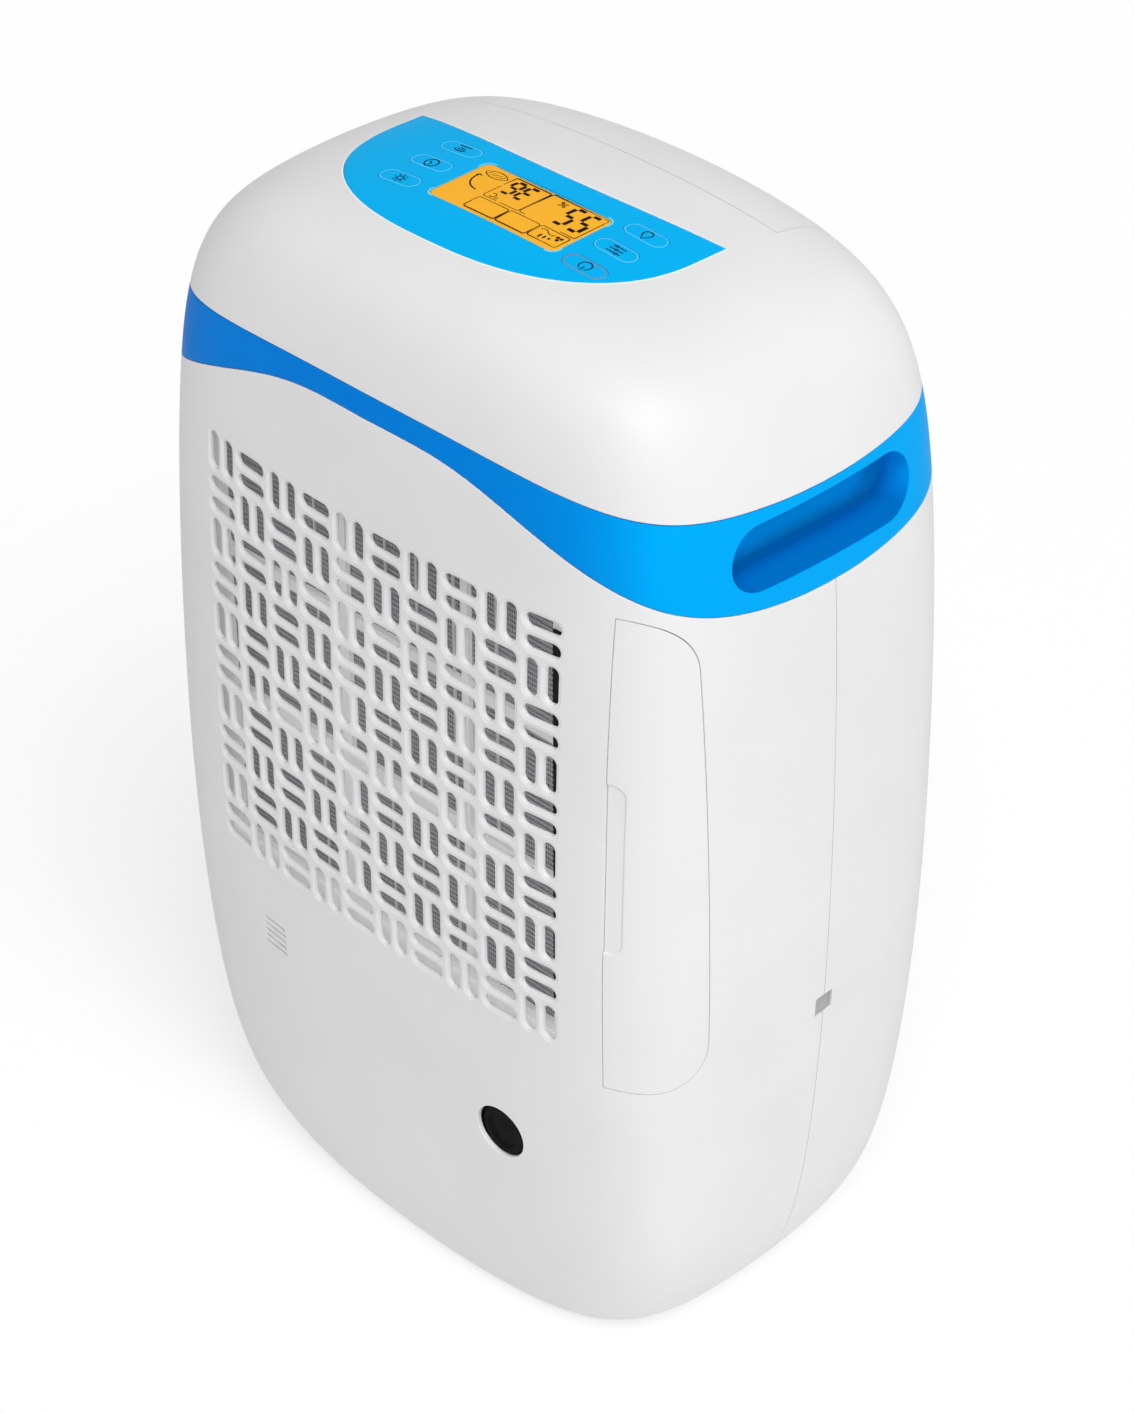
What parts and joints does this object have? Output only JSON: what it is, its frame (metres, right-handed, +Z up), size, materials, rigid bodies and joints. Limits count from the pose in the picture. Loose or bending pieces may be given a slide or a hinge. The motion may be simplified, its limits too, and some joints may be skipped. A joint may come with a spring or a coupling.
{
  "type": "dehumidifier",
  "caption": "Upright soft-cornered dehumidifier with rear intake grille, top control panel and outlet flap, side hand recesses, slide-out filter and pull-out water tank.",
  "frame": {"origin": "on the floor under the middle of the cabinet", "axes": "+Z up; -Y is the front, where the tank comes out and the air leaves; +Y is the rear with the intake grille; +X is the right side seen from behind the front"},
  "size_m": [0.3756, 0.2468, 0.5823],
  "materials": {
    "white_plastic": "satin moulded",
    "blue_plastic": "satin moulded",
    "panel_blue": "smooth printed film",
    "amber_display": "backlit display",
    "filter_net": "fine woven net",
    "black_plastic": "matte moulded",
    "grey_plastic": "matte moulded",
    "rubber_black": "matte",
    "black_enamel": "satin enamel",
    "coil_aluminium": "finned",
    "copper_pipe": "drawn copper",
    "plain_steel": "plain",
    "tank_clear": "translucent",
    "circuit_board": "solder mask"
  },
  "bodies": {
    "cabinet": {"rear_housing": "white_plastic", "front_housing": "white_plastic", "top_cover": "white_plastic", "trim_band": "blue_plastic", "seam_clip_left": "white_plastic", "seam_clip_right": "white_plastic", "control_overlay": "panel_blue", "display_window": "amber_display", "outlet_frame": "white_plastic", "flap_motor": "grey_plastic", "drain_spout": "grey_plastic", "drain_hose": "grey_plastic", "base_pan": "grey_plastic", "foot_rear_right": "rubber_black", "foot_rear_left": "rubber_black", "foot_front_left": "rubber_black", "foot_front_right": "rubber_black", "compressor": "black_enamel", "terminal_cover": "black_plastic", "suction_accumulator": "black_enamel", "grommet_1": "rubber_black", "grommet_2": "rubber_black", "grommet_3": "rubber_black", "evaporator": "coil_aluminium", "condenser": "coil_aluminium", "drip_tray": "grey_plastic", "discharge_pipe": "copper_pipe", "suction_pipe": "copper_pipe", "liquid_pipe": "copper_pipe", "filter_drier": "copper_pipe", "capillary_tube": "copper_pipe", "fan_scroll": "grey_plastic", "fan_motor": "plain_steel", "motor_bracket": "plain_steel", "level_switch": "black_plastic", "control_box": "black_plastic", "run_capacitor": "plain_steel", "display_board": "circuit_board", "humidity_sensor": "circuit_board", "power_inlet": "black_plastic"},
    "flap": {"outlet_flap": "white_plastic", "flap_shaft": "plain_steel"},
    "filter": {"filter_door": "white_plastic", "filter_frame": "white_plastic", "filter_mesh": "filter_net"},
    "plug": {"drain_plug": "black_plastic"},
    "fan": {"fan_impeller": "grey_plastic", "fan_shaft": "plain_steel"},
    "tank": {"water_tank": "tank_clear", "tank_front": "white_plastic", "tank_lid": "white_plastic"},
    "carry_handle": {"tank_handle": "white_plastic"},
    "float": {"tank_float": "white_plastic"},
    "key_swing": {"key_swing": "panel_blue"},
    "key_timer": {"key_timer": "panel_blue"},
    "key_dim": {"key_dim": "panel_blue"},
    "key_humidity": {"key_humidity": "panel_blue"},
    "key_mode": {"key_mode": "panel_blue"},
    "key_power": {"key_power": "panel_blue"}
  },
  "joints": [
    {"name": "flap_swing", "type": "hinge", "parent": "cabinet", "child": "flap", "pos_m": [0, -0.074, 0.56], "axis": [-1, 0, 0], "range_deg": [0, 60]},
    {"name": "filter_slide", "type": "slide", "parent": "cabinet", "child": "filter", "axis": [-1, 0, 0], "range_m": [0, 0.29]},
    {"name": "drain_plug_pull", "type": "slide", "parent": "cabinet", "child": "plug", "axis": [0, 1, 0], "range_m": [0, 0.03]},
    {"name": "fan_spin", "type": "hinge", "parent": "cabinet", "child": "fan", "pos_m": [0, -0.05, 0.342], "axis": [0, 1, 0], "continuous": true},
    {"name": "tank_slide", "type": "slide", "parent": "cabinet", "child": "tank", "axis": [0, -1, 0], "range_m": [0, 0.16]},
    {"name": "tank_handle_fold", "type": "hinge", "parent": "tank", "child": "carry_handle", "pos_m": [0, -0.044, 0.1846], "axis": [-1, 0, 0], "range_deg": [0, 90]},
    {"name": "float_rise", "type": "hinge", "parent": "tank", "child": "float", "pos_m": [0, -0.024, 0.15], "axis": [-1, 0, 0], "range_deg": [0, 14]},
    {"name": "key_swing_press", "type": "slide", "parent": "cabinet", "child": "key_swing", "axis": [0, 0, -1], "range_m": [0, 0.0006], "stiffness_N_per_m": 600},
    {"name": "key_timer_press", "type": "slide", "parent": "cabinet", "child": "key_timer", "axis": [0, 0, -1], "range_m": [0, 0.0006], "stiffness_N_per_m": 600},
    {"name": "key_dim_press", "type": "slide", "parent": "cabinet", "child": "key_dim", "axis": [0, 0, -1], "range_m": [0, 0.0006], "stiffness_N_per_m": 600},
    {"name": "key_humidity_press", "type": "slide", "parent": "cabinet", "child": "key_humidity", "axis": [0, 0, -1], "range_m": [0, 0.0006], "stiffness_N_per_m": 600},
    {"name": "key_mode_press", "type": "slide", "parent": "cabinet", "child": "key_mode", "axis": [0, 0, -1], "range_m": [0, 0.0006], "stiffness_N_per_m": 600},
    {"name": "key_power_press", "type": "slide", "parent": "cabinet", "child": "key_power", "axis": [0, 0, -1], "range_m": [0, 0.0006], "stiffness_N_per_m": 600}
  ]
}
